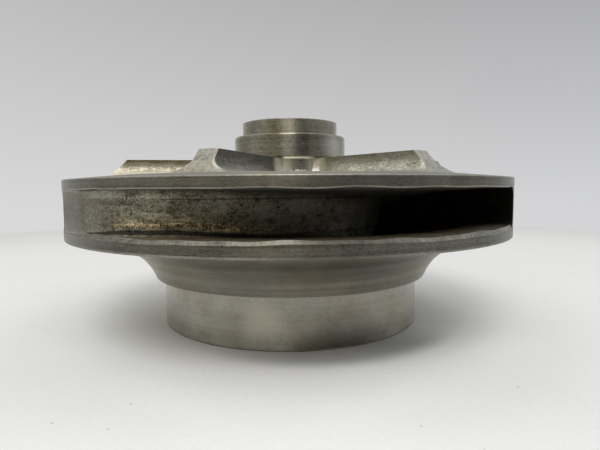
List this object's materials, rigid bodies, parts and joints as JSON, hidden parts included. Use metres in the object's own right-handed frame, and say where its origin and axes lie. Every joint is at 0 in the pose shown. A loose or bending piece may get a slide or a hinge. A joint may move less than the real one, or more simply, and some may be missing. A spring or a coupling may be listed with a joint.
{
  "type": "closed pump impeller",
  "caption": "Closed radial pump impeller: two shrouds joined by thick backward-curved vanes, straight ribs on the back, a stepped keyed hub and a plain eye ring.",
  "frame": {"origin": "centre of the bottom face of the eye ring, where the impeller stands on a flat surface", "axes": "+Z along the shaft, from the suction eye to the hub; -Y is the side that the picture shows"},
  "size_m": [0.254, 0.254, 0.1164],
  "materials": {
    "turned_steel": "satin, turned on a lathe",
    "cast_steel": "sand cast, pitted and stained"
  },
  "bodies": {
    "root": {"eye_ring": "turned_steel", "front_shroud": "turned_steel", "back_shroud": "turned_steel", "hub_bell": "turned_steel", "hub": "turned_steel", "pump_out_vane_1": "cast_steel", "pump_out_vane_2": "cast_steel", "pump_out_vane_3": "cast_steel", "pump_out_vane_4": "cast_steel", "pump_out_vane_5": "cast_steel", "pump_out_vane_6": "cast_steel", "main_vane_1": "cast_steel", "main_vane_2": "cast_steel", "main_vane_3": "cast_steel"}
  },
  "joints": []
}
